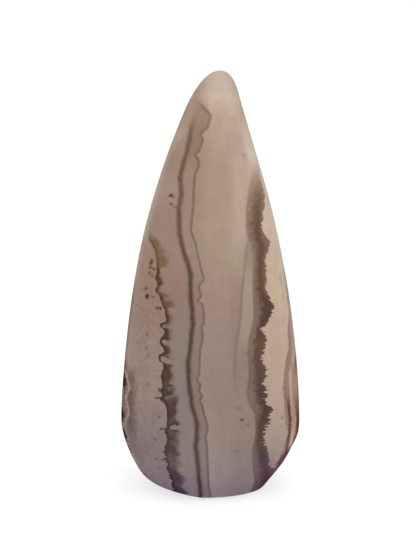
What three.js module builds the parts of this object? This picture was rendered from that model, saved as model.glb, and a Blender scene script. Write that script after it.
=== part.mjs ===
// A polished freeform of crazy lace agate, in millimetres, +Z up: one solid stone that stands on a
// flat ground base and rises to a blunt off-centre tip. Its broad face looks along -Y.
// The origin lies on the base, close to its middle.
//
// The stone is a loft. At every height its horizontal section is made of four superellipse quarters
// that meet in one point, so the left, right, front and back reaches can differ, and each quarter
// can be fuller or straighter than the others.
import * as THREE from "three";
import { mergeVertices } from "three/addons/utils/BufferGeometryUtils.js";

// Driving dimensions
const HEIGHT = 120;
const BASE_EDGE = 0.9; // radius of the softened edge round the base
const TIP_START = 110; // above this height the stone closes in a round nose
const NOSE_FULLNESS = 2.15; // 2 is a round nose, more is blunter

// How the body is divided into faces
const SIDES = 72;
const BODY_RINGS = 38;
const TIP_RINGS = 9;
const EDGE_RINGS = 3;
const BASE_RINGS = 3;
const RING_SPREAD = 1.15; // above 1, the rings lie closer where the flanks turn under
const WELD = 1e-3; // points closer than this are one point

// [height, reach] pairs. A reach is measured from the vertical axis of the frame.
// Above TIP_START it is the reach that the nose formula then rounds off.
const LEFT_EDGE = [
  [0, 17], [1.2, 19], [3.6, 21.5], [6.8, 23.2], [10.7, 24.9], [15, 26.4], [19.5, 27.3], [36, 26.3],
  [54, 24.2], [70, 21.4], [84, 17.8], [97, 13.5], [106.5, 9.8], [113, 7.05], [120, 4.8],
];
const RIGHT_EDGE = [
  [0, 14.2], [1.4, 14.9], [4.6, 17.5], [8.3, 20.2], [13.2, 22.5], [15.2, 23.5], [18, 24.2], [36, 23.3],
  [54, 21.2], [70, 18.3], [84, 15], [97, 11.2], [106.5, 8.35], [113, 6.65], [120, 6.4],
];
const FRONT_FACE = [
  [0, 12.3], [1, 13.6], [3.5, 15.5], [8, 17.1], [15, 18.2], [25, 18.5], [40, 17.7], [60, 15.4],
  [80, 12.4], [97, 9.4], [108, 7.2], [120, 5.4],
];
const BACK_FACE = [
  [0, 11.6], [1, 12.8], [3.5, 14.6], [8, 16.4], [15, 17.9], [25, 18.6], [40, 18.2], [60, 16.2],
  [80, 13], [97, 9.8], [108, 7.4], [120, 5.6],
];

// The crest: where the four quarters of a section meet, left or right of the axis.
const CREST = [[0, -3.8], [10, -2.8], [30, -1.8], [60, -1.2], [90, -0.4], [110, 0.7], [120, 1.15]];

// Fullness of each quarter: 2 is an ellipse, more is boxier, less is straighter.
const FULLNESS = {
  frontLeft: [[0, 1.3], [4, 1.7], [12, 2.3], [40, 2.5], [90, 2.4], [120, 2]],
  frontRight: [[0, 2.05], [8, 2], [20, 2.4], [90, 2.4], [120, 2.1]],
  backLeft: [[0, 2], [20, 2.2], [90, 2.2], [120, 2]],
  backRight: [[0, 2.1], [20, 2.35], [90, 2.2], [120, 2]],
};

// Smooth value of a [height, value] list at a height: a cubic through the points.
function at(points, height) {
  const last = points.length - 1;
  let i = 0;
  while (i < last - 1 && height > points[i + 1][0]) {
    i += 1;
  }
  const slope = (k) => {
    const [a, b] = [Math.max(0, k - 1), Math.min(last, k + 1)];
    return (points[b][1] - points[a][1]) / (points[b][0] - points[a][0]);
  };
  const [h0, v0] = points[i];
  const [h1, v1] = points[i + 1];
  const span = h1 - h0;
  const t = Math.min(1, Math.max(0, (height - h0) / span));
  const t2 = t * t;
  const t3 = t2 * t;
  return (
    v0 * (2 * t3 - 3 * t2 + 1) + v1 * (3 * t2 - 2 * t3) +
    span * (slope(i) * (t3 - 2 * t2 + t) + slope(i + 1) * (t3 - t2))
  );
}

// How much of its full reach a section keeps, so that the top closes as a nose.
function nose(height) {
  const rise = Math.max(0, (height - TIP_START) / (HEIGHT - TIP_START));
  return Math.max(0, 1 - rise ** NOSE_FULLNESS) ** (1 / NOSE_FULLNESS);
}

// A point of the stone's skin. angle runs round the stone from +X towards +Y, inset pulls the
// section in evenly, and share scales it towards the crest.
function skin(height, angle, inset, share) {
  const [c, s] = [Math.cos(angle), Math.sin(angle)];
  const crest = at(CREST, height);
  const side = c < 0 ? at(LEFT_EDGE, height) + crest : at(RIGHT_EDGE, height) - crest;
  const depth = s < 0 ? at(FRONT_FACE, height) : at(BACK_FACE, height);
  const quarter = (s < 0 ? "front" : "back") + (c < 0 ? "Left" : "Right");
  const power = 2 / at(FULLNESS[quarter], height);
  const keep = nose(height) * share;
  return new THREE.Vector3(
    crest + Math.sign(c) * Math.abs(c) ** power * (side - inset) * keep,
    Math.sign(s) * Math.abs(s) ** power * (depth - inset) * keep,
    height,
  );
}

// The rows of the loft, from the middle of the base to the tip: height, inset and share.
function rows() {
  const list = [];
  for (let i = 0; i < BASE_RINGS; i++) {
    list.push({ height: 0, inset: BASE_EDGE, share: i / BASE_RINGS });
  }
  for (let i = 0; i <= EDGE_RINGS; i++) {
    const turn = (i / EDGE_RINGS) * (Math.PI / 2);
    const inset = BASE_EDGE * (1 - Math.sin(turn));
    list.push({ height: BASE_EDGE * (1 - Math.cos(turn)), inset, share: 1 });
  }
  for (let i = 1; i <= BODY_RINGS; i++) {
    const climb = (i / BODY_RINGS) ** RING_SPREAD;
    list.push({ height: BASE_EDGE + climb * (TIP_START - BASE_EDGE), inset: 0, share: 1 });
  }
  for (let i = 1; i <= TIP_RINGS; i++) {
    const rise = Math.sin((i / TIP_RINGS) * (Math.PI / 2));
    list.push({ height: TIP_START + rise * (HEIGHT - TIP_START), inset: 0, share: 1 });
  }
  return list;
}

// The loft starts as a lathe of unit radius with one row of points for each entry of rows(), and
// every point is then moved to its place on the skin. First and last row lie on the axis.
function stoneGeometry() {
  const list = rows();
  const profile = list.map((row, i) => {
    const onAxis = i === 0 || i === list.length - 1;
    return new THREE.Vector2(onAxis ? 0 : 1, i);
  });
  const lathe = new THREE.LatheGeometry(profile, SIDES);
  const place = lathe.getAttribute("position");
  for (let i = 0; i < place.count; i++) {
    const column = Math.floor(i / list.length);
    const row = list[i % list.length];
    const point = skin(row.height, (column % SIDES) * ((2 * Math.PI) / SIDES), row.inset, row.share);
    place.setXYZ(i, point.x, point.y, point.z);
  }
  lathe.deleteAttribute("normal");
  lathe.deleteAttribute("uv");
  const closed = mergeVertices(lathe, WELD);
  closed.computeVertexNormals();
  return closed;
}

const bandedAgate = new THREE.MeshStandardMaterial({
  color: new THREE.Color(0.66, 0.57, 0.5),
  roughness: 0.25,
  metalness: 0,
});

const stone = new THREE.Mesh(stoneGeometry(), bandedAgate);
stone.name = "agate_stone";

const crazyLaceAgate = new THREE.Group();
crazyLaceAgate.add(stone);

export default crazyLaceAgate;
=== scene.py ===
# %% [markdown]
# # A polished crazy lace agate
#
# The real thing is one stone: banded chalcedony, sawn, ground into a leaning flame and polished.
# All its detail is in the colour of its layers, so most of this lesson is about one material.
# The layers are painted with a solid texture, a pattern that fills space and that the skin of the
# stone cuts through. An image wrapped round the stone would stretch and show a seam; a solid
# texture runs on over the flanks, the back and the base, as the layers of a real stone do.
#
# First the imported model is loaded. It fixes where the stone is and how large it is.

# %% Load the frame
import math

import bpy
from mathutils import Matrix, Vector


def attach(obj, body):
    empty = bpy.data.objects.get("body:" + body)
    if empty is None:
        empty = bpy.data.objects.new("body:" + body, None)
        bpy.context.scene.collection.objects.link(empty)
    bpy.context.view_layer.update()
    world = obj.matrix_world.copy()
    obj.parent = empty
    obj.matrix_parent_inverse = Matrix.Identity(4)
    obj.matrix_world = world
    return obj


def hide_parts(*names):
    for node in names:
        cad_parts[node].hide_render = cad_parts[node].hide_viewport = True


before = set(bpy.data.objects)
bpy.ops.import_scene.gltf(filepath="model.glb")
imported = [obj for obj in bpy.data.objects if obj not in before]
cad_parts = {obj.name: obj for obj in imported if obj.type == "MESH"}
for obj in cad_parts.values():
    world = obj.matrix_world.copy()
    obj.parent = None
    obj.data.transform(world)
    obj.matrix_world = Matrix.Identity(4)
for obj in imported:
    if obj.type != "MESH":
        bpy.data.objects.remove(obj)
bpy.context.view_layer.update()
print("nodes in the frame:", sorted(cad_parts))

# %% [markdown]
# The camera looks down a little on the broad face, through a long lens from about half a metre.
# It comes first, because every later choice is judged through it.

# %% Camera
LOOK_DOWN = math.radians(12)
CAMERA_DISTANCE = 0.437
LOOK_AT = Vector((-0.00224, 0, 0.0616))


def add_camera():
    back = Vector((0, -math.cos(LOOK_DOWN), math.sin(LOOK_DOWN)))
    place = LOOK_AT + CAMERA_DISTANCE * back
    bpy.ops.object.camera_add(location=place, rotation=(math.pi / 2 - LOOK_DOWN, 0, 0))
    camera = bpy.context.active_object
    camera.name = "camera"
    camera.data.lens = 100
    camera.data.sensor_width = 36
    bpy.context.scene.camera = camera
    return camera


camera = add_camera()
print("camera at", [round(value, 3) for value in camera.location])

# %% [markdown]
# The skin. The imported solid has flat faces, which a polished stone never shows. Its mesh is also a
# loose heap of triangles, and loose triangles can't be smoothed. So the stone is a copy of it:
# points that coincide are merged, pairs of triangles become quads, and a subdivision surface
# rounds what is left. The flat base stays flat, because all its points lie at one height.

# %% Copy the solid and round it
MILLIMETRE = 0.001
WELD = 0.01 * MILLIMETRE
SUBDIVISIONS = 2


def work_on(piece):
    """Makes one piece the only selected and active object."""
    bpy.ops.object.select_all(action="DESELECT")
    piece.select_set(True)
    bpy.context.view_layer.objects.active = piece


def copy_of_node(node, name):
    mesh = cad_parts[node].data.copy()
    mesh.materials.clear()
    piece = bpy.data.objects.new(name, mesh)
    bpy.context.collection.objects.link(piece)
    return piece


def merge_and_round(piece):
    work_on(piece)
    bpy.ops.object.mode_set(mode="EDIT")
    bpy.ops.mesh.select_all(action="SELECT")
    bpy.ops.mesh.remove_doubles(threshold=WELD)
    bpy.ops.mesh.tris_convert_to_quads(face_threshold=math.pi / 3, shape_threshold=math.pi / 3)
    bpy.ops.object.mode_set(mode="OBJECT")
    bpy.ops.object.modifier_add(type="SUBSURF")
    rounding = piece.modifiers[-1]
    rounding.levels = SUBDIVISIONS
    rounding.render_levels = SUBDIVISIONS
    bpy.ops.object.modifier_apply(modifier=rounding.name)
    bpy.ops.object.shade_smooth()


stone = copy_of_node("agate_stone", "polished_agate")
merge_and_round(stone)
print("faces after rounding:", len(stone.data.polygons))

# %% [markdown]
# Nodes are placed by a small helper, so that the recipe reads as a recipe. It can add a node, join
# it to what feeds it, do sums, ask a noise, and mix two colours by a mask.

# %% A bench for building node trees
class Bench:
    """One node tree, and short ways to put nodes in it."""

    def __init__(self, tree):
        self.tree = tree

    def node(self, kind, **settings):
        made = self.tree.nodes.new(kind)
        for name, value in settings.items():
            setattr(made, name, value)
        return made

    def feed(self, socket, value):
        """Joins a socket to another socket, or sets its number."""
        if isinstance(value, bpy.types.NodeSocket):
            self.tree.links.new(value, socket)
        else:
            socket.default_value = value

    def sum(self, operation, *values):
        made = self.node("ShaderNodeMath", operation=operation)
        for socket, value in zip(made.inputs, values):
            self.feed(socket, value)
        return made.outputs[0]

    def ease(self, value, start, end, low=0.0, high=1.0):
        """Runs smoothly from low to high while value goes from start to end."""
        made = self.node("ShaderNodeMapRange", interpolation_type="SMOOTHSTEP")
        for socket, number in zip(made.inputs, (value, start, end, low, high)):
            self.feed(socket, number)
        return made.outputs[0]

    def mix(self, mask, under, over, blend="MIX"):
        made = self.node("ShaderNodeMix", data_type="RGBA", blend_type=blend)
        self.feed(made.inputs[0], mask)
        self.feed(made.inputs[6], under)
        self.feed(made.inputs[7], over)
        return made.outputs[2]

    def noise(self, place, stretch, detail=0.0, shift=0.0):
        """A noise from 0 to 1. stretch says how many waves fit in a unit along each axis."""
        moved = self.node("ShaderNodeMapping", vector_type="POINT")
        self.feed(moved.inputs["Vector"], place)
        moved.inputs["Location"].default_value = (shift, -shift, 2 * shift)
        moved.inputs["Scale"].default_value = stretch
        made = self.node("ShaderNodeTexNoise", noise_dimensions="3D")
        self.feed(made.inputs["Vector"], moved.outputs[0])
        made.inputs["Scale"].default_value = 1.0
        made.inputs["Detail"].default_value = detail
        return made.outputs[0]

    def use(self, group, **values):
        """Places a node group. A socket named Half width is given as half_width."""
        made = self.node("ShaderNodeGroup", node_tree=group)
        for name, value in values.items():
            self.feed(made.inputs[name.replace("_", " ").capitalize()], value)
        return made.outputs


def new_group(name, inputs, output):
    """An empty shader node group: inputs as {label: start value}, and one output."""
    tree = bpy.data.node_groups.new(name, "ShaderNodeTree")
    for label, start in inputs.items():
        kind = "NodeSocketVector" if start is None else "NodeSocketFloat"
        socket = tree.interface.new_socket(label, in_out="INPUT", socket_type=kind)
        if start is not None:
            socket.default_value = start
    tree.interface.new_socket(output, in_out="OUTPUT", socket_type="NodeSocketFloat")
    bench = Bench(tree)
    given = bench.node("NodeGroupInput").outputs
    result = bench.node("NodeGroupOutput").inputs[output]
    return bench, given, result


print("bench ready")

# %% [markdown]
# Every layer of the stone has two things to say about a point: is it past me, and is it on me?
# These two questions are node groups. Both measure across the stone, in millimetres.

# %% Groups: past a line, on a line
def make_past_line():
    """1 right of a line and 0 left of it, with a soft or hard change."""
    start = {"Across": 0.0, "Line": 0.0, "Softness": 0.3}
    bench, given, result = new_group("Past a line", start, "Mask")
    off = bench.sum("SUBTRACT", given["Across"], given["Line"])
    half = bench.sum("MULTIPLY", given["Softness"], 0.5)
    other_half = bench.sum("MULTIPLY", half, -1.0)
    bench.feed(result, bench.ease(off, other_half, half))
    return bench.tree


def make_on_line():
    """1 on a line and 0 away from it: a seam with soft sides."""
    start = {"Across": 0.0, "Line": 0.0, "Half width": 0.3, "Softness": 0.3}
    bench, given, result = new_group("On a line", start, "Mask")
    off = bench.sum("ABSOLUTE", bench.sum("SUBTRACT", given["Across"], given["Line"]))
    end = bench.sum("ADD", given["Half width"], given["Softness"])
    bench.feed(result, bench.ease(off, given["Half width"], end, 1.0, 0.0))
    return bench.tree


PAST_LINE = make_past_line()
ON_LINE = make_on_line()
print("groups:", PAST_LINE.name, "and", ON_LINE.name)

# %% [markdown]
# Two more shapes are needed. Light fingers of chalcedony poke into the brown band: a finger is a
# rod with round ends, and its group says how far outside it a point lies. Small pits, clouds and
# stains are ovals, and their group fades them from the middle to the rim.

# %% Groups: a finger, an oval
def make_finger():
    """How far outside a finger a point lies. Drop lets its root hang lower than its tip."""
    start = {"Across": 0.0, "Height": 0.0, "Tip across": 0.0, "Tip height": 0.0}
    start |= {"Reach": 2.0, "Drop": 0.0, "Radius": 0.5}
    bench, given, result = new_group("Finger", start, "Outside")
    right = bench.sum("SUBTRACT", given["Across"], given["Tip across"])
    right = bench.sum("SUBTRACT", right, given["Radius"])
    up = bench.sum("SUBTRACT", given["Height"], given["Tip height"])
    up = bench.sum("MULTIPLY_ADD", right, given["Drop"], up)
    along = bench.sum("MINIMUM", bench.sum("MAXIMUM", right, 0.0), given["Reach"])
    gap = bench.sum("SUBTRACT", right, along)
    square = bench.sum("MULTIPLY", gap, gap)
    away = bench.sum("SQRT", bench.sum("MULTIPLY_ADD", up, up, square))
    bench.feed(result, bench.sum("SUBTRACT", away, given["Radius"]))
    return bench.tree


def make_oval():
    """1 in the middle of an oval and 0 outside it. Core is the share of it that stays full."""
    start = {"Across": 0.0, "Height": 0.0, "Middle across": 0.0, "Middle height": 0.0}
    start |= {"Half width": 1.0, "Half height": 1.0, "Core": 0.0}
    bench, given, result = new_group("Oval", start, "Mask")
    right = bench.sum("SUBTRACT", given["Across"], given["Middle across"])
    right = bench.sum("DIVIDE", right, given["Half width"])
    up = bench.sum("SUBTRACT", given["Height"], given["Middle height"])
    up = bench.sum("DIVIDE", up, given["Half height"])
    square = bench.sum("MULTIPLY", right, right)
    away = bench.sum("SQRT", bench.sum("MULTIPLY_ADD", up, up, square))
    bench.feed(result, bench.ease(away, given["Core"], 1.0, 1.0, 0.0))
    return bench.tree


FINGER = make_finger()
OVAL = make_oval()
print("groups:", FINGER.name, "and", OVAL.name)

# %% [markdown]
# Where brown chalcedony met cream, it grew into it in little pointed teeth. A noise that is folded
# over at its middle value has sharp peaks and round valleys, which is the shape of such an edge.

# %% Group: teeth along a line
def make_teeth():
    """How far the teeth of an edge reach past its line, at a place on the stone."""
    start = {"Place": None, "Length": 1.0, "Spacing": 0.8}
    bench, given, result = new_group("Teeth", start, "Reach")
    stretch = bench.node("ShaderNodeVectorMath", operation="MULTIPLY")
    bench.feed(stretch.inputs[0], given["Place"])
    stretch.inputs[1].default_value = (0.25, 0.12, 1.0)
    noise = bench.node("ShaderNodeTexNoise", noise_dimensions="3D")
    bench.feed(noise.inputs["Vector"], stretch.outputs[0])
    bench.feed(noise.inputs["Scale"], bench.sum("DIVIDE", 0.6, given["Spacing"]))
    noise.inputs["Detail"].default_value = 2.0
    noise.inputs["Roughness"].default_value = 0.6
    swing = bench.sum("MULTIPLY_ADD", noise.outputs[0], 2.0, -1.0)
    peak = bench.sum("MULTIPLY_ADD", bench.sum("ABSOLUTE", swing), -2.2, 1.0)
    level = bench.sum("SUBTRACT", bench.sum("MAXIMUM", peak, 0.0), 0.5)
    bench.feed(result, bench.sum("MULTIPLY", level, given["Length"]))
    return bench.tree


TEETH = make_teeth()
print("group:", TEETH.name)

# %% [markdown]
# Layers seldom run straight through a crazy lace agate: they fold and swirl. The broad face shows
# one calm cut through them. Behind it, this group says how far the layers have moved aside, so
# every layer folds with its neighbours and none of them crosses another.

# %% Group: folds behind the broad face
def make_folds():
    """A smooth push to one side or the other, in millimetres. Size is the largest push."""
    start = {"Place": None, "Size": 1.0, "Waves": 0.05}
    bench, given, result = new_group("Folds", start, "Push")
    noise = bench.node("ShaderNodeTexNoise", noise_dimensions="3D")
    bench.feed(noise.inputs["Vector"], given["Place"])
    bench.feed(noise.inputs["Scale"], given["Waves"])
    noise.inputs["Detail"].default_value = 1.0
    swing = bench.sum("MULTIPLY_ADD", noise.outputs[0], 2.0, -1.0)
    bench.feed(result, bench.sum("MULTIPLY", swing, given["Size"]))
    return bench.tree


FOLDS = make_folds()
print("group:", FOLDS.name)

# %% [markdown]
# Now the layers. Each is a line that wanders across the broad face as it climbs, so it is kept as
# a list of places: height first, then how far right of the middle, both in millimetres. A Float
# Curve node runs a curve through them. The layers lean back a little, so heights are measured
# along the lean. The last lists aren't layers: two bound the upper rims of the face, which get a
# painted reflection, one follows the lower left rim, where the polish is left off, and one follows
# the darkest part of the brown layer.

# %% Where the layers run
LEAN = LOOK_DOWN

BROWN_BAND_EDGE = [
    (-0.5, -12), (1.2, -12.2), (2.7, -12.4), (4, -12.7), (5.4, -13), (6.3, -13.4), (8.2, -13.6),
    (9.3, -14), (12.1, -14.1), (13.9, -13.8), (14.9, -13.6), (16.3, -13.8), (17.4, -14.2),
    (18.5, -13.8), (23, -13.5), (25.5, -14.4), (26.5, -15.4), (27.8, -14.8), (28.5, -15.3),
    (30, -14.8), (33, -15.2), (36, -14.5), (37.5, -15.8), (38.6, -15.8), (39.7, -14.4),
    (40.5, -14.4), (41.5, -15.1), (42.8, -15.5), (44.5, -14.4), (45.5, -14.2), (47.2, -15.5),
    (47.8, -14.9), (48.2, -13.8), (50, -13.9), (51.5, -14.2), (53.5, -15.1), (55.5, -15.8),
    (56.5, -16.6), (58.7, -16.2), (60.2, -16.7), (63.1, -16.3), (66, -16.5), (67.4, -16.8),
    (68.6, -17.3), (69.9, -18.2), (71.3, -18.7), (73, -18.6),
]
BROWN_BAND_LIMIT = [
    (-0.5, -8), (0.9, -8.8), (2.7, -8.6), (4, -8.4), (5.2, -9.8), (6.4, -10.5), (7.3, -9.4),
    (8.6, -9.7), (10, -10.5), (11.4, -10.2), (13, -9.9), (13.9, -10.5), (15.4, -10.5), (17.2, -9.6),
    (18, -9.9), (19.5, -9.6), (21, -11.1), (25.5, -10.8), (30, -11.2), (31, -12), (32.5, -11.9),
    (35, -12.5), (36.3, -11.1), (37.7, -11.7), (41, -12.6), (45, -12.2), (49, -12), (51.4, -12.6),
    (52.4, -10.9), (53.8, -12.2), (55.5, -12.8), (56.5, -15.4), (57.7, -15.3), (58.7, -14.4),
    (60.2, -14.9), (62.8, -15.2), (63.3, -13.1), (67.4, -13.3), (68.6, -14.2), (69.9, -15.2),
    (71.3, -16.6), (73, -17.8),
]
DARK_VEIN = [
    (-1.2, -4.4), (1, -4.4), (4, -4.9), (7.4, -5), (11.4, -5.4), (14.3, -5.6), (16.3, -5.4),
    (19, -5.3), (23.4, -6.3), (26, -6.8), (32, -7.6), (35.3, -7.7), (39.5, -7.3), (44, -6.8),
    (49, -6.5), (55.5, -7), (60.4, -7), (64, -7.8), (67.9, -9.1), (73, -10), (78.6, -10.2),
    (83.8, -9.6), (86, -9.8), (89, -9.6), (91, -9.1), (95.6, -7.8), (101, -7), (106.5, -5.7),
]
FINE_SEAM = [
    (-1.2, -1.6), (2, -2.1), (7.4, -2.3), (13.5, -2.6), (16, -2.9), (18.4, -2.4), (20.4, -2.6),
    (22.2, -3.3), (24.8, -3.8), (26.3, -4.5), (27.5, -3.8), (29, -4.7), (30.6, -4.3),
    (32.2, -5.4), (33.4, -4.7), (40.6, -4.4), (42.8, -3.8), (45.3, -3.7), (46.9, -4.1),
    (47.4, -3.3), (50.5, -3.4), (52.9, -3.7), (53.8, -5.1), (55.2, -4.1), (57.8, -4.8),
    (59.7, -3.3), (62.4, -4.1), (69.7, -5.7), (73, -6.9), (76, -6.7), (80.5, -6.2), (84, -6.2),
    (88.5, -5.8), (90.6, -4.8), (92.3, -4.8), (93.8, -5.9), (94.8, -4.7), (96, -4.3),
    (98, -3.6), (99.3, -4.5), (99.7, -3.3), (101, -2.5), (103.3, -1.7), (104.4, -1.4),
    (106, -2.9), (107, -4), (108, -4.7),
]
FAINT_SEAM = [
    (28.7, 5.2), (35.3, 5.2), (39.5, 5.4), (42.8, 5.7), (46.9, 6.4), (56.4, 7.1), (63.4, 7.8),
    (71.9, 8.6),
]
BROWN_LAYER_START = [
    (-0.4, 10), (1.2, 10.6), (3.5, 10.8), (5.9, 10.4), (12.1, 10.1), (17.3, 10.9), (22.4, 10.7),
    (24.4, 9.7), (28.6, 8.6), (30.3, 8.8), (34.2, 9.2), (39.5, 8.9), (46.1, 9.6), (49.4, 10.3),
    (58.5, 10), (63.4, 10), (68.9, 9.5), (71.9, 8.4), (76.8, 8.1), (82.9, 8.7), (92.6, 10.4),
]
BROWN_LAYER_END = [
    (5.2, 27), (5.7, 19), (6.1, 14.9), (7.6, 14.7), (9.8, 14.6), (12.2, 14.1), (13.9, 13.3),
    (15.4, 12.5), (16.9, 13.3), (18.9, 13.9), (20.8, 15), (21.1, 14), (22.1, 15), (23.2, 15.5),
    (25.1, 14.2), (26.1, 13), (27.3, 13.8), (30.2, 13.5), (31, 12.7), (33.9, 14), (35.6, 13.7),
    (36.1, 12.8), (38.6, 12.5), (40.8, 13.2), (42.8, 13.7), (44.7, 12.9), (46, 12.7),
    (47.7, 13.9), (49.6, 15), (51.1, 15.7), (52.6, 15.7), (53.7, 14.8), (54.5, 15.1),
    (55.4, 14.1), (56.8, 13.6), (59.3, 13.9), (62.2, 13.8), (64.6, 13.5), (66.3, 13.8), (68.4, 14.5),
    (70.1, 14.8), (72.5, 13.1), (74.2, 12.3), (76.7, 13), (78.2, 12.5), (79.2, 13.4),
    (82, 13.4), (85.6, 12.8), (89.1, 11.8), (92.8, 11.3),
]
LACE_START = [
    (9.8, 18.7), (12.6, 19.2), (16.7, 20.2), (19.1, 19.7), (24.8, 19.1), (30.8, 18.8), (36.5, 19.4),
    (41.7, 20.3), (45.6, 20), (49.7, 20.4), (53.9, 19.9), (58.1, 19.4), (62, 18.9), (68, 18.6),
]
PALE_LACE = [
    (11, 20.7), (14.3, 21), (17.1, 21.4), (20, 21.5), (22.9, 21.2), (25.8, 20.9), (28.6, 20.5),
    (31.5, 20.4), (34.3, 20.6), (37, 21.1), (40.9, 21.7), (50, 22.4),
]
CRUST = [
    (12, -25), (14.7, -24.2), (16.2, -25.6), (18.5, -25.8), (20.9, -25), (22.8, -24.7),
    (24.4, -24.9), (26.6, -25.4), (27.6, -24.9), (29, -24.4), (31.2, -24.9), (33.1, -25.5), (35, -26.2),
]
# The next two lines bound the painted reflection on the upper rims.
LEFT_REFLECTION_LINE = [(74, -18.7), (87, -14.9), (95, -12.1), (103, -9), (108, -7.4)]
RIGHT_REFLECTION_LINE = [(90, 9.6), (98.5, 7.6), (106, 6)]
DULL_RIM = [
    (6, -23), (11, -24.4), (21, -26.4), (30, -26), (36.6, -25.2), (43, -24.4), (54, -22.9),
    (62, -21.4),
]
DARK_RIDGE = [
    (0.5, 15), (5.2, 14.4), (9.3, 13.3), (15.5, 12), (21.3, 13.2), (24.3, 13.9), (26.8, 12.6),
    (32.2, 12.2), (37.7, 11.4), (43.1, 11.9), (48.6, 13.5), (51.3, 14.4), (54, 13.6), (57, 12.3),
    (65, 12.1), (68, 12.6), (70.4, 11.8), (76, 11.3), (82.7, 11.8), (92, 11.6),
]


def layer_line(bench, name, height, places, bends="AUTO_CLAMPED"):
    """How far across a layer lies at a height: a curve through its places."""
    curve = bench.node("ShaderNodeFloatCurve", label=name)
    mapping = curve.mapping
    mapping.extend = "HORIZONTAL"
    mapping.clip_min_x = places[0][0]
    mapping.clip_max_x = places[-1][0]
    mapping.clip_min_y = min(across for _, across in places) - 1
    mapping.clip_max_y = max(across for _, across in places) + 1
    line = mapping.curves[0]
    line.points[0].location = places[0]
    line.points[1].location = places[-1]
    for place in places[1:-1]:
        line.points.new(*place)
    for point in line.points:
        point.handle_type = bends
    mapping.update()
    bench.feed(curve.inputs["Value"], height)
    return curve.outputs[0]


print("lines listed: 14")

# %% [markdown]
# The colours, as a stone cutter would name them. They are mixed for the middle of the stone; a tint
# that pales towards the tip and turns to mauve at the base is laid over them at the end. It is partly
# the stone's own colour, partly painted light at the tip and painted shade at the base.

# %% Colours
def colour(red, green, blue):
    """A colour picked on a screen, from 0 to 255, as the linear colour that Blender mixes."""

    def linear(part):
        part /= 255
        return part / 12.92 if part <= 0.04045 else ((part + 0.055) / 1.055) ** 2.4

    return (linear(red), linear(green), linear(blue), 1.0)


FLANK_HIGH = colour(157, 129, 111)
FLANK = colour(162, 136, 119)
FLANK_LOW = colour(169, 146, 130)
FLANK_BASE = colour(151, 130, 122)
PLUM_SHADE = colour(116, 86, 90)
CORNER = colour(106, 72, 76)
BETWEEN = colour(152, 129, 114)
BETWEEN_PALE = colour(162, 139, 124)
MAUVE = colour(158, 126, 117)
BETWEEN_LOW = colour(156, 136, 123)
INNER = colour(154, 131, 116)
CLOUD = colour(139, 114, 94)
CORE = colour(167, 145, 129)
CORE_SOFT = colour(163, 142, 125)
HONEY = colour(160, 137, 116)
HONEY_PALE = colour(168, 144, 120)
CORE_LOW = colour(174, 150, 134)
DIM_CORE = colour(160, 137, 121)
PALE_CORE = colour(181, 159, 143)
ROSE = colour(182, 152, 134)
WEDGE = colour(172, 154, 135)
WEDGE_HIGH = colour(150, 129, 114)
VEIN_HIGH = colour(104, 80, 61)
VEIN_LOW = colour(86, 62, 50)
SEAM_HIGH = colour(124, 98, 76)
SEAM_LOW = colour(124, 101, 84)
FAINT = colour(148, 126, 108)
GOLD = colour(124, 94, 69)
GOLD_RIM = colour(108, 77, 48)
UMBER = colour(97, 67, 42)
UMBER_RIM = colour(88, 56, 34)
SMOKE_BROWN = colour(112, 87, 69)
BAND_BROWN = colour(88, 63, 51)
BAND_RIM = colour(76, 47, 30)
BAND_GREY = colour(112, 90, 79)
BAND_PLUM = colour(88, 65, 68)
PLUM_RIM = colour(70, 45, 46)
LAYER_PALE = colour(146, 124, 105)
LAYER_SOFT = colour(133, 112, 96)
LAYER_LOW = colour(126, 103, 94)
LAYER_BASE = colour(118, 92, 94)
LAYER_TOP = colour(136, 108, 86)
LAYER_WARM = colour(106, 79, 59)
LAYER_DARK = colour(98, 74, 57)
LAYER_DEEP = colour(85, 62, 47)
LAYER_PLUM = colour(86, 54, 54)
CREAM_HIGH = colour(197, 175, 158)
CREAM_DULL = colour(195, 171, 152)
CREAM = colour(204, 178, 152)
CREAM_DIM = colour(188, 162, 141)
CREAM_LOW = colour(162, 134, 115)
LACE_MAUVE = colour(166, 132, 110)
LACE_PALE = colour(204, 172, 146)
LACE_RED = colour(106, 55, 30)
LACE_BROWN = colour(186, 152, 130)
LACE_LINE = colour(142, 107, 84)
RUST = colour(130, 70, 45)
CRUST_DARK_AND_SHADE = colour(74, 40, 42)
CRUST_THREAD = colour(112, 84, 74)
CRUST_MIST = colour(170, 144, 132)
CRUST_PALE = colour(190, 164, 147)
STAIN = colour(108, 80, 62)
STAIN_WARM = colour(122, 90, 68)
WARM = colour(172, 138, 115)
PIT_SHADE = colour(72, 47, 33)
print("colours mixed: 65")

# %% [markdown]
# The material. It measures the place of a point once, finds each layer line once, and then lays
# the layers over one another from left to right, each by its own mask.

# %% Measure the place
agate = bpy.data.materials.new("polished_banded_agate")
agate.use_nodes = True
bench = Bench(agate.node_tree)
bench.tree.nodes.clear()

FRONT_ENDS = 0.0
BACK_BEGINS = 11.0
TURN_WOBBLE = 26.0  # how far layers and crust may stray once the face has turned into the side


def measure_place():
    """The place, its depth, how far it is hidden behind the broad face, and if it is on the sides."""
    spot = bench.node("ShaderNodeTexCoord").outputs["Object"]
    lean = bench.node("ShaderNodeMapping", vector_type="POINT")
    bench.feed(lean.inputs["Vector"], spot)
    lean.inputs["Rotation"].default_value = (LEAN, 0, 0)
    lean.inputs["Scale"].default_value = (1000, 1000, 1000)
    axes = bench.node("ShaderNodeSeparateXYZ")
    bench.feed(axes.inputs[0], spot)
    depth = bench.sum("MULTIPLY", axes.outputs[1], 1000.0)
    hidden = bench.ease(depth, FRONT_ENDS, BACK_BEGINS)
    on_sides = bench.sum("MULTIPLY", bench.ease(depth, -7.0, 0.0), bench.ease(depth, 12.0, 4.0))
    return lean.outputs[0], depth, hidden, on_sides


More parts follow.
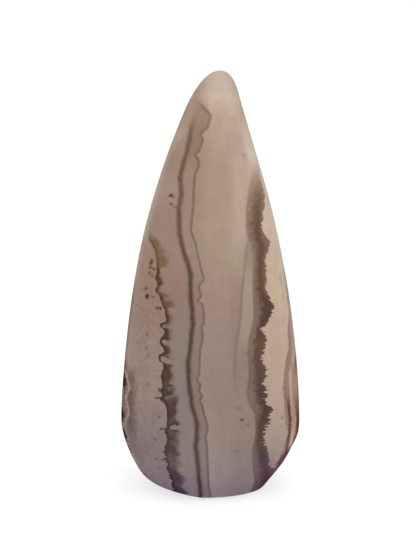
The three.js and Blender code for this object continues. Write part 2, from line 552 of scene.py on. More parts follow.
def fold_layers(place, hidden):
    """Across and height of a point among the folded layers, in millimetres."""
    axes = bench.node("ShaderNodeSeparateXYZ")
    bench.feed(axes.inputs[0], place)
    wide = bench.use(FOLDS, place=place, size=9.0, waves=0.045)["Push"]
    narrow = bench.use(FOLDS, place=place, size=2.6, waves=0.17)["Push"]
    lift = bench.sum("ADD", bench.use(FOLDS, place=place, size=12.0, waves=0.052)["Push"], 6.0)
    aside = bench.sum("ADD", wide, narrow)
    across = bench.sum("MULTIPLY_ADD", aside, hidden, axes.outputs[0])
    height = bench.sum("MULTIPLY_ADD", lift, hidden, axes.outputs[2])
    return across, height


place, depth, hidden, on_sides = measure_place()
across, height = fold_layers(place, hidden)
shown = bench.sum("SUBTRACT", 1.0, hidden)
print("measures: place, depth, across, height and hidden")

# %% [markdown]
# Every layer line is looked up once. Real layers are never drawn with a ruler, so the lines get
# small teeth and a slow wobble, and some masks are measured at a place shaken a little by noise.

# %% Find the layer lines
vein_line = layer_line(bench, "dark vein", height, DARK_VEIN)
seam_line = layer_line(bench, "fine seam", height, FINE_SEAM, "VECTOR")
faint_line = layer_line(bench, "faint seam", height, FAINT_SEAM)
band_edge = layer_line(bench, "brown band edge", height, BROWN_BAND_EDGE)
band_limit = layer_line(bench, "brown band limit", height, BROWN_BAND_LIMIT)
layer_start = layer_line(bench, "brown layer start", height, BROWN_LAYER_START)
layer_end = layer_line(bench, "brown layer end", height, BROWN_LAYER_END, "VECTOR")
lace_start = layer_line(bench, "lace start", height, LACE_START)
pale_lace = layer_line(bench, "pale lace", height, PALE_LACE)
crust_line = layer_line(bench, "crust", height, CRUST)
dark_ridge = layer_line(bench, "dark ridge", height, DARK_RIDGE)


def swing(stretch, detail, shift):
    """A noise that swings round zero instead of round a half."""
    return bench.sum("SUBTRACT", bench.noise(place, stretch, detail, shift), 0.5)


grain = swing((1.6, 0.5, 1.6), 3.0, 2.0)
wobble = swing((0.5, 0.4, 0.45), 2.0, 21.0)
smoke = swing((0.3, 0.3, 0.5), 0.8, 4.0)
mottling = swing((0.5, 0.4, 0.35), 2.0, 23.0)
ragged_across = bench.sum("MULTIPLY_ADD", swing((1.1, 0.5, 1.1), 2.0, 5.0), 1.2, across)
ragged_height = bench.sum("MULTIPLY_ADD", swing((1.1, 0.5, 1.1), 2.0, 9.0), 1.2, height)
drift = swing((0.13, 0.16, 0.13), 1.0, 37.0)
on_turn = bench.ease(depth, -6.0, 3.0, 0.0, TURN_WOBBLE)
ragged_height = bench.sum("MULTIPLY_ADD", drift, on_turn, ragged_height)

left_length = bench.ease(height, 16.0, 12.0, 0.35, 1.1)
left_teeth = bench.use(TEETH, place=place, length=left_length, spacing=0.72)["Reach"]
right_length = bench.ease(height, 60.0, 38.0, 0.6, 1.5)
right_length = bench.sum("MULTIPLY_ADD", swing((0.5, 0.4, 0.3), 1.0, 13.0), 3.0, right_length)
right_length = bench.sum("MAXIMUM", right_length, 0.3)
right_teeth = bench.use(TEETH, place=place, length=right_length, spacing=0.7)["Reach"]
band_edge = bench.sum("SUBTRACT", band_edge, left_teeth)
layer_end = bench.sum("ADD", layer_end, right_teeth)
vein_line = bench.sum("MULTIPLY_ADD", wobble, 0.8, vein_line)
print("layer lines joined: 11")

# %% [markdown]
# Each mask below answers one question about a point with a number from 0 to 1. Masks that are
# multiplied ask for both at once, which keeps every later step to a line or two.

# %% Ways to ask for a mask
def past(line, softness):
    return bench.use(PAST_LINE, across=across, line=line, softness=softness)["Mask"]


def on(line, half_width, softness):
    seam = bench.use(
        ON_LINE, across=across, line=line, half_width=half_width, softness=softness
    )
    return seam["Mask"]


def both(*masks):
    """The product of several masks."""
    result = masks[0]
    for mask in masks[1:]:
        result = bench.sum("MULTIPLY", result, mask)
    return result


def outside(mask):
    return bench.sum("SUBTRACT", 1.0, mask)


def rises(start, end, low=0.0, high=1.0):
    """Goes from low to high while the height goes from start to end."""
    return bench.ease(height, start, end, low, high)


def from_to(bottom, full_from, full_to, top):
    """Shown between two heights, with soft ends."""
    return both(rises(bottom, full_from), rises(top, full_to))


def oval(middle_height, middle_across, half_height, half_width, core=0.0, share=1.0):
    mask = bench.use(
        OVAL, across=ragged_across, height=ragged_height, middle_height=middle_height,
        middle_across=middle_across, half_height=half_height, half_width=half_width, core=core,
    )["Mask"]
    return both(mask, shown, share)


def all_ovals(places):
    """The strongest of several ovals at every point."""
    mask = 0.0
    for place_and_size in places:
        mask = bench.sum("MAXIMUM", mask, oval(*place_and_size))
    return mask


print("masks: past, on, both, outside, rises, from_to, oval, all_ovals")

# %% [markdown]
# A layer also changes colour as it climbs, because iron reached some parts of it and not others. A
# colour ramp laid along the height does that with a few stops.

# %% Colours that change with the height
TOP = 120.0


def by_height(*stops):
    """A colour that changes with the height. Each stop is a height and a colour, lowest first."""
    ramp = bench.node("ShaderNodeValToRGB")
    bench.feed(ramp.inputs[0], bench.sum("DIVIDE", height, TOP))
    steps = ramp.color_ramp.elements
    for number, (level, shade_there) in enumerate(stops):
        step = steps[number] if number < 2 else steps.new(level / TOP)
        step.position = level / TOP
        step.color = (*shade_there[:3], 1)
    return ramp.outputs[0]


print("by_height ready")

# %% [markdown]
# The ground comes first: calm chalcedony from the left flank to the clear core. Its layers differ
# by a shade only, with wide soft changes, and everything after this is laid over it.

# %% Ground colours, from left to right
flank = by_height(
    (6, FLANK_BASE), (13, FLANK_BASE), (28, FLANK_LOW), (36, FLANK_LOW), (48, FLANK), (62, FLANK_HIGH)
)
middle = by_height(
    (44, BETWEEN_LOW), (56, BETWEEN), (76, BETWEEN), (84, BETWEEN_PALE), (93, BETWEEN)
)
inner = by_height((88, INNER), (96, CLOUD), (106, CLOUD), (110, INNER))
paint = bench.mix(past(band_edge, 0.4), flank, middle)
paint = bench.mix(oval(60.5, -11.0, 6.0, 3.5, 0.2, 0.8), paint, MAUVE)
paint = bench.mix(past(vein_line, 1.2), paint, inner)
beside_seam = bench.sum("SUBTRACT", across, seam_line)
left_core = by_height(
    (24, CORE_LOW), (52, CORE), (64, CORE_SOFT), (72, HONEY), (98, HONEY), (106, CORE)
)
right_core = by_height(
    (12, DIM_CORE), (26, CORE), (36, DIM_CORE), (50, DIM_CORE), (62, CORE), (76, PALE_CORE),
    (92, PALE_CORE), (98, CORE),
)
core = bench.mix(bench.ease(beside_seam, 0.3, 5.0), left_core, CORE)
core = bench.mix(bench.ease(across, 2.6, 6.0), core, right_core)
core = bench.mix(oval(70.5, -0.3, 5.5, 2.6, 0.0, 0.8), core, HONEY_PALE)
core_from = bench.ease(beside_seam, -0.25, rises(104.0, 109.0, 0.25, 4.0))
paint = bench.mix(core_from, paint, core)
paint = bench.mix(oval(109.6, -0.1, 1.9, 2.0, 0.0, 0.5), paint, ROSE)
paint = bench.mix(oval(108.0, -5.4, 4.5, 2.2, 0.2, 0.5), paint, CLOUD)
paint = bench.mix(oval(40.5, -24.2, 6.5, 2.6, 0.0, 0.6), paint, WARM)
# Painted shade, tinted plum, darkens the lower left corner towards the left rim and the base.
paint = bench.mix(both(bench.ease(across, -17.5, -24.0), rises(17.0, 7.0)), paint, PLUM_SHADE)
print("ground laid")

# %% [markdown]
# The brown band on the left. Iron-rich silica crept into the pale layers from its sharp left edge,
# so the band is darkest in a thin rim there and fades to the right like smoke. Pale fingers push
# back into it, each with a dark rim of its own, and thin dark spikes cross the edge.

# %% The brown band and its fingers
# Of each finger: height and place of its tip, reach, radius, drop, and how light it is.
FINGERS = [
    (56.9, -15.3, 3.0, 0.8, 0.0, 1.0),
    (51.5, -13.3, 2.4, 0.55, 0.0, 0.9),
    (46.9, -14.8, 1.8, 0.6, 0.2, 0.7),
    (42.5, -15.0, 3.2, 0.7, 0.25, 1.0),
    (37.6, -15.4, 3.7, 0.85, 0.3, 1.0),
    (31.1, -13.0, 2.6, 0.45, 0.0, 0.7),
    (29.5, -13.6, 1.6, 0.6, -0.3, 0.45),
    (27.0, -14.4, 2.4, 0.5, -0.2, 0.5),
    (18.7, -12.8, 3.8, 0.7, 0.0, 0.9),
]
# Of each spike: the height and place of its tip, and its reach.
SPIKES = [
    (29.2, -16.0, 1.0), (28.8, -15.9, 0.8), (26.8, -16.8, 1.8), (18.2, -15.6, 2.1),
    (11.6, -14.9, 1.2), (9.3, -15.0, 1.2),
]


def finger(tip_height, tip_across, reach, radius, drop):
    return bench.use(
        FINGER, across=ragged_across, height=ragged_height, tip_height=tip_height,
        tip_across=tip_across, reach=reach, radius=radius, drop=drop,
    )["Outside"]


def lay_fingers():
    """The light of all the fingers, and the dark rim round them."""
    light, rim = 0.0, 0.0
    for *shape, share in FINGERS:
        away = finger(*shape)
        light = bench.sum("MAXIMUM", light, bench.ease(away, -0.25, 0.15, share, 0.0))
        rim = bench.sum("MAXIMUM", rim, bench.ease(away, 0.05, 0.7, share, 0.0))
    return light, rim


def lay_spikes():
    dark = 0.0
    for tip_height, tip_across, reach in SPIKES:
        away = finger(tip_height, tip_across, reach, 0.1, 0.0)
        dark = bench.sum("MAXIMUM", dark, bench.ease(away, -0.05, 0.3, 0.9, 0.0))
    return both(dark, shown)


finger_light, finger_rim = lay_fingers()
past_edge = bench.sum("SUBTRACT", ragged_across, band_edge)
width = bench.sum("MAXIMUM", bench.sum("SUBTRACT", band_limit, band_edge), 0.5)
across_share = bench.sum("MULTIPLY_ADD", smoke, 0.7, bench.sum("DIVIDE", past_edge, width))
fade_from = bench.sum("ADD", rises(54.0, 30.0, 0.15, 0.7), rises(56.0, 59.0, 0.0, 0.35))
band_fade = bench.ease(across_share, fade_from, 1.2, 1.0, 0.0)
band = both(past(band_edge, 0.25), band_fade, rises(74.0, 70.0))
band_fill = by_height(
    (0, BAND_PLUM), (6, BAND_PLUM), (8, BAND_GREY), (12, BAND_BROWN), (46, BAND_BROWN),
    (50, SMOKE_BROWN), (56, SMOKE_BROWN), (58, UMBER), (62, UMBER), (63.5, GOLD),
)
band_rim = by_height(
    (7, PLUM_RIM), (14, BAND_RIM), (50, BAND_RIM), (56, UMBER_RIM), (62, UMBER_RIM), (65, GOLD_RIM)
)
band_fill = bench.mix(bench.ease(smoke, 0.02, 0.2, 0.0, 0.2), band_fill, BETWEEN_LOW)
rim = bench.ease(past_edge, 0.25, 1.1, 1.0, 0.0)
rim = bench.sum("MAXIMUM", rim, both(finger_rim, 0.7))
band_colour = bench.mix(rim, band_fill, band_rim)
PALE_PATCHES = [
    (26.4, -12.6, 1.5, 1.6, 0.0, 0.6), (14.7, -11.6, 1.2, 1.7, 0.2, 0.7),
    (9.8, -11.6, 1.2, 2.0, 0.1, 0.35), (2.6, -9.6, 1.6, 1.2, 0.0, 0.6),
    (51.5, -12.0, 1.0, 1.2, 0.0, 0.6),
]
band_colour = bench.mix(all_ovals(PALE_PATCHES), band_colour, BAND_GREY)
paint = bench.mix(both(band, outside(finger_light)), paint, band_colour)
paint = bench.mix(lay_spikes(), paint, band_rim)
BROWN_WEDGES = [(53.2, -13.2, 1.3, 2.6, 0.2, 0.7), (12.9, -11.2, 0.9, 1.4, 0.2, 0.5)]
paint = bench.mix(both(all_ovals(BROWN_WEDGES), past(band_edge, 0.3)), paint, SMOKE_BROWN)
print("fingers:", len(FINGERS), "and spikes:", len(SPIKES))

# %% [markdown]
# The dark vein and the fine seam beside it are single growth surfaces seen edge-on. The seam
# zigzags, and a line that is measured across the stone would swell wherever it runs flat. Dividing
# by the steepness of the line gives the true distance from it, so it stays equally thin.

# %% Cloud, vein and fine seams
paint = bench.mix(oval(103.0, -5.9, 4.2, 2.0, 0.0, 0.5), paint, CLOUD)
vein_strength = bench.sum("MULTIPLY_ADD", grain, 0.5, rises(106.0, 99.0, 0.0, 0.96))
vein = both(on(vein_line, 0.08, 1.15), vein_strength)
paint = bench.mix(vein, paint, by_height((60, VEIN_LOW), (80, VEIN_HIGH)))

STEP = 0.3
seam_above = layer_line(bench, "seam above", bench.sum("ADD", height, STEP), FINE_SEAM, "VECTOR")
seam_below = layer_line(bench, "seam below", bench.sum("SUBTRACT", height, STEP), FINE_SEAM, "VECTOR")
slope = bench.sum("DIVIDE", bench.sum("SUBTRACT", seam_above, seam_below), 2 * STEP)
steepness = bench.sum("SQRT", bench.sum("MULTIPLY_ADD", slope, slope, 1.0))
off_seam = bench.sum("DIVIDE", bench.sum("ABSOLUTE", beside_seam), steepness)
seam = bench.ease(off_seam, 0.1, rises(70.0, 95.0, 0.55, 0.7), 0.9, 0.0)
seam = both(seam, rises(109.0, 107.0), bench.sum("MULTIPLY_ADD", grain, 0.9, 0.96))
paint = bench.mix(seam, paint, by_height((60, SEAM_LOW), (90, SEAM_HIGH)))

wedge = both(past(faint_line, 0.6), outside(past(layer_start, 1.2)), from_to(36.0, 46.0, 69.0, 73.0))
paint = bench.mix(both(wedge, 0.9), paint, by_height((57, WEDGE), (67, WEDGE_HIGH)))
faint = both(on(faint_line, 0.15, 0.5), from_to(26.0, 36.0, 66.0, 74.0))
paint = bench.mix(both(faint, 0.85), paint, FAINT)
print("seams laid")

# %% [markdown]
# The brown layer on the right is the band's mirror image: it starts softly on the left and grows
# darker up to a sharp right edge, where its teeth bite into the cream.

# %% The brown layer on the right
start_softness = rises(25.0, 75.0, 0.35, 0.9)
end_softness = rises(50.0, 60.0, 0.25, 0.6)
layer = both(past(layer_start, start_softness), outside(past(layer_end, end_softness)))
layer = both(layer, rises(94.0, 82.0))
clots = swing((1.1, 0.5, 0.8), 4.0, 6.0)
width = bench.sum("MAXIMUM", bench.sum("SUBTRACT", dark_ridge, layer_start), 1.0)
share = bench.sum("DIVIDE", bench.sum("SUBTRACT", across, layer_start), width)
share = bench.sum("MULTIPLY_ADD", clots, 1.0, share)
past_ridge = bench.sum("SUBTRACT", ragged_across, dark_ridge)
margin = bench.ease(past_ridge, 0.3, 1.4, 1.0, rises(52.0, 58.0, 0.9, 0.5))
darkness = both(bench.ease(share, 0.1, 0.95), margin)
darkness = bench.sum("MAXIMUM", darkness, oval(68.6, 13.0, 2.6, 1.5, 0.2, 0.9))
layer_soft = by_height(
    (1, LAYER_BASE), (6, LAYER_LOW), (20, LAYER_LOW), (27, LAYER_PALE), (33, LAYER_SOFT),
    (42, LAYER_PALE), (50, LAYER_SOFT), (70, LAYER_SOFT), (84, LAYER_PALE),
)
layer_dark = by_height(
    (10, LAYER_PLUM), (14, LAYER_DARK), (20, LAYER_DEEP), (27, LAYER_DEEP), (33, LAYER_DARK),
    (42, LAYER_WARM), (48, LAYER_DEEP), (54, LAYER_DEEP), (60, LAYER_DARK), (72, LAYER_DARK),
    (79, LAYER_WARM), (88, LAYER_TOP),
)
layer_colour = bench.mix(darkness, layer_soft, layer_dark)
layer_colour = bench.mix(oval(58.2, 12.1, 2.8, 0.7, 0.2, 0.3), layer_colour, RUST)
paint = bench.mix(layer, paint, layer_colour)
start_line = both(on(layer_start, 0.1, 0.6), from_to(18.0, 24.0, 42.0, 48.0), 0.3)
paint = bench.mix(both(start_line, shown), paint, LAYER_DARK)
paint = bench.mix(oval(39.3, 8.4, 0.8, 1.4, 0.0, 0.35), paint, LAYER_DARK)
print("brown layer laid")

# %% [markdown]
# Beyond the teeth lies cream chalcedony, and at its far edge the lace that names the stone: thin
# mauve, red, pale and rusty layers that follow each other closely. They share two lines and are
# told apart by how far they lie past them.

# %% Cream, and the lace beyond it
# Streaks: height and place, half the height and width, core and strength.
STREAKS = [
    (60.0, 18.0, 3.4, 0.45, 0.0, 0.5), (55.4, 18.8, 2.6, 0.4, 0.0, 0.5),
    (43.4, 21.0, 3.4, 0.5, 0.0, 0.5),
]
beyond = past(layer_end, 0.25)
cream = by_height(
    (7, CREAM_LOW), (15, CREAM_DIM), (26, CREAM), (56, CREAM), (64, CREAM_DULL), (68, CREAM_DULL),
    (76, CREAM_HIGH),
)
cream = bench.mix(bench.ease(smoke, 0.02, 0.18, 0.0, 0.4), cream, CREAM_DULL)
cream = bench.mix(all_ovals(STREAKS), cream, LACE_MAUVE)
paint = bench.mix(both(beyond, rises(94.0, 86.0)), paint, cream)
lace = both(beyond, bench.sum("MAXIMUM", rises(68.0, 60.0), both(hidden, 0.8)), rises(7.0, 10.0))
fray = bench.sum("MULTIPLY", grain, 0.9)
past_lace = bench.sum("SUBTRACT", bench.sum("ADD", across, fray), lace_start)
paint = bench.mix(both(bench.ease(past_lace, -0.3, 0.3), lace), paint, LACE_MAUVE)
off_line = bench.sum("ABSOLUTE", bench.sum("SUBTRACT", past_lace, 0.5))
thin_line = both(bench.ease(off_line, 0.05, 0.4, 1.0, 0.0), lace, rises(36.0, 42.0), 0.8)
paint = bench.mix(thin_line, paint, LACE_LINE)
past_pale = bench.sum("SUBTRACT", bench.sum("ADD", across, fray), pale_lace)
low_lace = both(lace, rises(42.0, 37.0))
paint = bench.mix(both(bench.ease(past_pale, -0.2, 0.15), low_lace), paint, LACE_PALE)
paint = bench.mix(both(bench.ease(past_pale, 0.9, 1.2), low_lace), paint, LACE_BROWN)
rusty = both(bench.ease(past_pale, 0.9, 1.7), low_lace, rises(30.0, 20.0))
paint = bench.mix(rusty, paint, RUST)
threads_of_lace = swing((2.2, 0.6, 0.09), 1.0, 31.0)
fine_threads = both(bench.ease(threads_of_lace, 0.0, 0.08, 0.0, 0.5), lace, rises(50.0, 42.0))
fine_threads = both(fine_threads, bench.ease(past_lace, -0.2, 0.4))
paint = bench.mix(fine_threads, paint, LACE_LINE)
off_red = bench.sum("ABSOLUTE", bench.sum("ADD", past_pale, 0.6))
red = both(bench.ease(off_red, 0.25, 0.6, 1.0, 0.0), beyond, from_to(8.0, 10.0, 24.0, 28.0))
paint = bench.mix(red, paint, LACE_RED)
dark_line = both(oval(36.0, 22.7, 4.5, 0.5, 0.1, 0.8), beyond)
paint = bench.mix(dark_line, paint, LACE_RED)
slanted = bench.sum("MULTIPLY_ADD", mottling, 3.0, bench.sum("MULTIPLY_ADD", height, -0.5, across))
corner = both(bench.ease(slanted, 13.1, 15.0), beyond, rises(14.0, 10.0))
paint = bench.mix(corner, paint, CORNER)
unpolished = bench.sum("MAXIMUM", both(bench.ease(past_pale, 0.6, 1.2), low_lace), corner)
print("cream laid")

# %% [markdown]
# On the left edge a crust of dark hematite is woven through with pale threads. A noise stretched
# along a slant makes threads, and stains of iron spread from the crust into the flank. The darkest
# patches of the crust are partly iron stain and partly painted shade of hollows the skin doesn't have.

# %% Crust on the left, with its stains
DARK_STAINS_AND_HOLLOWS = [
    (31.0, -26.4, 3.0, 1.4, 0.5, 1.0), (21.2, -27.3, 3.2, 1.6, 0.5, 1.0),
    (14.9, -26.3, 3.0, 1.3, 0.5, 1.0), (29.0, -25.6, 1.4, 0.5, 0.0, 0.6),
    (22.2, -25.1, 1.6, 0.4, 0.0, 0.8),
]
beside_crust = bench.sum("SUBTRACT", ragged_across, crust_line)
stained = bench.sum("MULTIPLY_ADD", mottling, 2.5, ragged_across)
stained = bench.sum("ADD", stained, rises(31.0, 40.0, 0.0, 3.5))
stain = bench.ease(stained, -24.4, -21.2, 1.0, 0.0)
stain = both(stain, from_to(7.0, 11.0, 35.0, 40.0), rises(18.0, 26.0, 0.9, 1.0), shown)
paint = bench.mix(stain, paint, by_height((28, STAIN), (34, STAIN_WARM)))
round_turn = bench.ease(depth, -4.2, -0.8, 0.0, TURN_WOBBLE)
reach_back = bench.sum("MULTIPLY_ADD", swing((0.2, 0.1, 0.24), 1.0, 41.0), round_turn, depth)
behind = bench.sum("MULTIPLY_ADD", mottling, 10.0, reach_back)
crust_top = bench.ease(ragged_height, 37.0, 33.0)
crust = both(outside(past(crust_line, 0.3)), bench.ease(ragged_height, 9.0, 13.0), crust_top)
crust = both(crust, bench.ease(behind, 2.0, 5.0, 1.0, 0.0))
slant = bench.sum("MULTIPLY_ADD", across, 0.9, height)
thread_place = bench.node("ShaderNodeCombineXYZ")
bench.feed(thread_place.inputs[0], across)
bench.feed(thread_place.inputs[1], bench.sum("MULTIPLY", hidden, 11.0))
bench.feed(thread_place.inputs[2], slant)
threads = bench.noise(thread_place.outputs[0], (0.5, 0.4, 1.5), 2.0, 5.0)
threads = bench.ease(bench.sum("ABSOLUTE", bench.sum("SUBTRACT", threads, 0.5)), 0.01, 0.06, 1.0, 0.0)
crust_colour = bench.mix(threads, CRUST_MIST, CRUST_THREAD)
# Dark patches: iron stain, and painted shade where the crust has hollows.
stain_and_hollow_shade = both(all_ovals(DARK_STAINS_AND_HOLLOWS), bench.ease(behind, -1.0, 2.0, 1.0, 0.0))
crust_colour = bench.mix(stain_and_hollow_shade, crust_colour, CRUST_DARK_AND_SHADE)
paint = bench.mix(crust, paint, crust_colour)
crust_edge = bench.ease(bench.sum("ABSOLUTE", beside_crust), 0.1, 0.5, 1.0, 0.0)
crust_edge = both(crust_edge, from_to(14.0, 17.0, 33.0, 35.0))
paint = bench.mix(both(crust_edge, shown, rises(18.0, 24.0, 0.4, 0.85)), paint, CRUST_PALE)
dull_rim = outside(past(layer_line(bench, "dull rim", height, DULL_RIM), 1.2))
unpolished = bench.sum("MAXIMUM", unpolished, both(dull_rim, rises(62.0, 54.0)))
unpolished = bench.sum("MAXIMUM", unpolished, crust)
unpolished = bench.sum("MAXIMUM", unpolished, rises(9.0, 2.0))
print("dark stains and shaded hollows:", len(DARK_STAINS_AND_HOLLOWS))

# %% [markdown]
# A few pits stayed open when the stone was polished. They are smaller than a pencil point, so they
# are not cut into the skin: the shade inside them is painted as dark dots in the colour.

# %% Pits
# Of each pit: height and place, half its height and width, its core, and how dark it is.
PITS = [
    (55.0, -19.0, 1.1, 1.0, 0.3, 1.0), (64.6, -17.9, 1.4, 0.7, 0.2, 0.95),
    (63.2, -18.1, 0.7, 0.6, 0.2, 0.9), (61.5, -18.4, 0.7, 0.7, 0.1, 0.8),
    (60.7, -17.8, 0.7, 0.6, 0.1, 0.8), (62.6, -17.2, 0.5, 0.7, 0.1, 0.8),
    (57.2, -19.4, 0.8, 0.8, 0.1, 0.8), (55.0, -17.6, 0.6, 0.6, 0.1, 0.7),
    (52.4, -22.2, 0.6, 0.5, 0.0, 0.45), (51.8, -16.3, 0.7, 0.8, 0.1, 0.8),
    (51.7, -15.3, 0.7, 0.6, 0.1, 0.9), (44.5, -19.0, 0.8, 0.8, 0.0, 0.45),
    (40.6, -19.3, 0.7, 0.7, 0.0, 0.45), (38.6, -19.0, 0.8, 0.7, 0.0, 0.35),
    (30.8, -18.8, 0.8, 0.7, 0.0, 0.45), (21.6, -15.9, 0.7, 0.8, 0.1, 0.7),
    (15.0, -17.0, 0.8, 0.9, 0.0, 0.45), (9.5, -16.7, 0.7, 0.8, 0.1, 0.5),
    (6.8, -16.0, 0.7, 0.7, 0.0, 0.45), (11.6, -18.8, 0.6, 0.6, 0.0, 0.3),
    (82.8, -12.4, 0.9, 1.1, 0.2, 0.95), (82.4, -11.5, 0.6, 0.6, 0.0, 0.7),
    (80.3, -12.3, 0.7, 0.8, 0.1, 0.7), (79.6, -11.3, 0.6, 0.9, 0.0, 0.6),
    (93.8, 7.6, 0.6, 0.7, 0.0, 0.5), (32.8, 6.0, 0.8, 1.0, 0.0, 0.2),
    (29.0, 5.4, 0.7, 0.9, 0.0, 0.2), (24.0, 6.2, 0.9, 1.3, 0.0, 0.3),
    (20.9, 7.1, 0.6, 0.9, 0.2, 0.8), (19.5, 9.0, 0.6, 0.6, 0.0, 0.45),
    (11.9, 6.0, 0.8, 1.4, 0.0, 0.25), (20.9, 18.5, 0.45, 0.45, 0.0, 0.6),
    (19.1, 19.7, 0.4, 0.4, 0.0, 0.6), (18.5, 18.2, 0.4, 0.4, 0.0, 0.4),
    (17.4, 19.5, 0.4, 0.4, 0.0, 0.5), (16.9, 17.7, 0.4, 0.4, 0.0, 0.3),
]
# Painted shade inside the pits.
paint = bench.mix(all_ovals(PITS), paint, PIT_SHADE)
print("pits:", len(PITS))

# %% [markdown]
# No layer is one flat colour. Long faint streaks run along the growth, a mottling of a few percent
# breaks up the rest, and the flank shows contour lines like those of a map. Specks near the limit
# of what the eye can see come last, and are strongest on the flank.

# %% Growth stripes and mottling
laid = bench.node("ShaderNodeCombineXYZ")
bench.feed(laid.inputs[0], across)
bench.feed(laid.inputs[2], height)


def tone(value, start, end, darker, lighter):
    """Multiplies the paint by a colour that changes with a noise."""
    step = bench.mix(bench.ease(value, start, end), (*darker, 1), (*lighter, 1))
    return bench.mix(1.0, paint, step, "MULTIPLY")


def shade(value, start, end, change):
    """Darkens and lightens the paint by a small share of itself."""
    return tone(value, start, end, (1 - change,) * 3, (1 + change,) * 3)


streaks = bench.noise(laid.outputs[0], (0.8, 0.2, 0.08), 2.0, 3.0)
paint = shade(streaks, 0.3, 0.7, 0.02)
mottle = bench.noise(place, (0.42, 0.3, 0.3), 3.0, 7.0)
paint = shade(mottle, 0.3, 0.7, 0.03)
warmth = bench.noise(place, (0.2, 0.15, 0.2), 1.0, 11.0)
paint = tone(warmth, 0.35, 0.65, (1.015, 0.993, 0.99), (0.99, 1.003, 1.0))
rings = bench.sum("MULTIPLY", bench.noise(place, (0.15, 0.11, 0.14), 1.5, 17.0), 9.0)
rings = bench.sum("SUBTRACT", bench.sum("PINGPONG", rings, 0.5), 0.25)
on_flank = outside(past(bench.sum("SUBTRACT", band_edge, 1.5), 3.0))
paint = shade(both(rings, on_flank), -0.2, 0.2, 0.045)
specks = both(swing((2.4, 0.9, 1.3), 1.0, 43.0), bench.sum("ADD", on_flank, 0.35))
paint = shade(specks, -0.2, 0.2, 0.04)
print("mottled")

# %% [markdown]
# The whole stone pales towards its tip and turns to mauve at its base: partly its own colour, partly
# painted light at the tip and painted shade at the base. That is one more ramp along the height,
# multiplied over everything. The turned-away sides get painted shade, from a mask on the depth of a
# point. High up, both rims of the face get a painted reflection that lifts them a little.

# %% Painted light and shade along the height and on the sides, painted reflection on the rims
TINT_WITH_LIGHT_AND_SHADE = [
    (0, (0.60, 0.65, 0.94)), (3, (0.66, 0.69, 0.94)), (12, (0.67, 0.69, 0.79)),
    (26, (0.65, 0.65, 0.73)), (40, (0.68, 0.69, 0.74)), (54, (0.77, 0.74, 0.76)),
    (65, (0.84, 0.86, 0.84)), (73, (0.88, 0.88, 0.88)), (82, (0.87, 0.87, 0.87)),
    (92, (0.89, 0.90, 0.88)), (103, (1.06, 1.09, 1.11)), (107.3, (1.19, 1.24, 1.27)),
    (110, (1.26, 1.36, 1.40)), (112.8, (1.17, 1.29, 1.35)), (116, (1.26, 1.41, 1.48)),
]
SIDE_SHADE = (0.8, 0.74, 0.7, 1)
LEFT_RIM_REFLECTION = (1.3, 1.32, 1.34, 1)
RIGHT_RIM_REFLECTION = (1.36, 1.46, 1.5, 1)
# Painted light towards the tip and painted shade towards the base, over the stone's own paling and
# mauve.
paint = bench.mix(1.0, paint, by_height(*TINT_WITH_LIGHT_AND_SHADE), "MULTIPLY")
# Painted shade on the turned-away sides.
paint = bench.mix(on_sides, paint, SIDE_SHADE, "MULTIPLY")
# Painted reflection on the upper left rim.
reflection_left = outside(past(layer_line(bench, "left rim reflection", height, LEFT_REFLECTION_LINE), 1.8))
reflection_left = both(reflection_left, from_to(68.0, 76.0, 99.0, 106.0))
paint = bench.mix(reflection_left, paint, LEFT_RIM_REFLECTION, "MULTIPLY")
# Painted reflection on the upper right rim.
reflection_right = past(layer_line(bench, "right rim reflection", height, RIGHT_REFLECTION_LINE), 3.0)
reflection_right = both(reflection_right, from_to(88.0, 94.0, 98.0, 106.0))
paint = bench.mix(reflection_right, paint, RIGHT_RIM_REFLECTION, "MULTIPLY")
print("tinted in steps:", len(TINT_WITH_LIGHT_AND_SHADE))

# %% [markdown]
# The polish. A polished agate has two surfaces: the stone, which scatters light softly, and a thin
# gloss over it. So the base takes no mirror light of its own, and a clear coat does. The coat is
# left off where the real stone was never polished: on the rough crust and the lower left rim, at
# the rusty lace that the wheel didn't reach, at the lower right corner and close to the base.

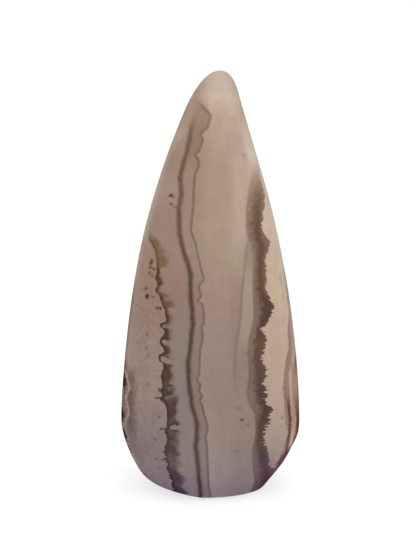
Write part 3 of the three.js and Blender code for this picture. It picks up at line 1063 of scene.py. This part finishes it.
# %% The polish
polish = bench.node("ShaderNodeBsdfPrincipled")
polish.inputs["Roughness"].default_value = 0.6
polish.inputs["Specular IOR Level"].default_value = 0.0
polish.inputs["Coat Roughness"].default_value = 0.4
polish.inputs["Coat IOR"].default_value = 1.29
bench.feed(polish.inputs["Coat Weight"], outside(unpolished))
bench.feed(polish.inputs["Base Color"], paint)
surface = bench.node("ShaderNodeOutputMaterial")
bench.feed(surface.inputs["Surface"], polish.outputs[0])
stone.data.materials.append(agate)
print("nodes in the agate:", len(bench.tree.nodes))

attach(stone, "root")
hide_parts("agate_stone")

# %% [markdown]
# The stone stands on a plain pale floor under soft light from all sides. The floor glows faintly,
# as a lit table for small things does, so the shadow round the base stays pale. The room is
# brighter overhead than at the horizon, which keeps the turned-away flanks from greying.

# %% Floor and light
FLOOR_SIZE = 14.0


def add_floor():
    bpy.ops.mesh.primitive_plane_add(size=FLOOR_SIZE, location=(0, 0, -0.02 * MILLIMETRE))
    floor = bpy.context.active_object
    floor.name = "floor"
    bpy.ops.object.transform_apply(location=True, rotation=True, scale=True)
    matt = bpy.data.materials.new("pale_floor")
    matt.use_nodes = True
    finish = matt.node_tree.nodes["Principled BSDF"]
    finish.inputs["Base Color"].default_value = (0.3, 0.3, 0.3, 1)
    finish.inputs["Emission Color"].default_value = (1, 1, 1, 1)
    finish.inputs["Emission Strength"].default_value = 0.7
    finish.inputs["Roughness"].default_value = 0.9
    floor.data.materials.append(matt)
    return floor


def light_room():
    """A white room: brightest overhead, dimmer towards the horizon."""
    world = bpy.data.worlds.new("soft_white_room")
    world.use_nodes = True
    room = Bench(world.node_tree)
    background = world.node_tree.nodes["Background"]
    axes = room.node("ShaderNodeSeparateXYZ")
    room.feed(axes.inputs[0], room.node("ShaderNodeTexCoord").outputs["Generated"])
    room.feed(background.inputs["Strength"], room.ease(axes.outputs[2], 0.0, 0.8, 0.58, 1.16))
    background.inputs["Color"].default_value = (1, 1, 1, 1)
    bpy.context.scene.world = world


def add_soft_box():
    bpy.ops.object.light_add(type="AREA", location=(0.25, -0.45, 1.0))
    lamp = bpy.context.active_object
    lamp.name = "soft_box"
    lamp.data.shape = "SQUARE"
    lamp.data.size = 0.8
    lamp.data.energy = 4.0
    aim = Vector((0, 0, 0.06)) - lamp.location
    lamp.rotation_euler = aim.to_track_quat("-Z", "Y").to_euler()
    return lamp


floor = add_floor()
light_room()
lamp = add_soft_box()
bpy.context.scene.view_settings.view_transform = "Standard"
print("staged:", floor.name, "under", lamp.name)
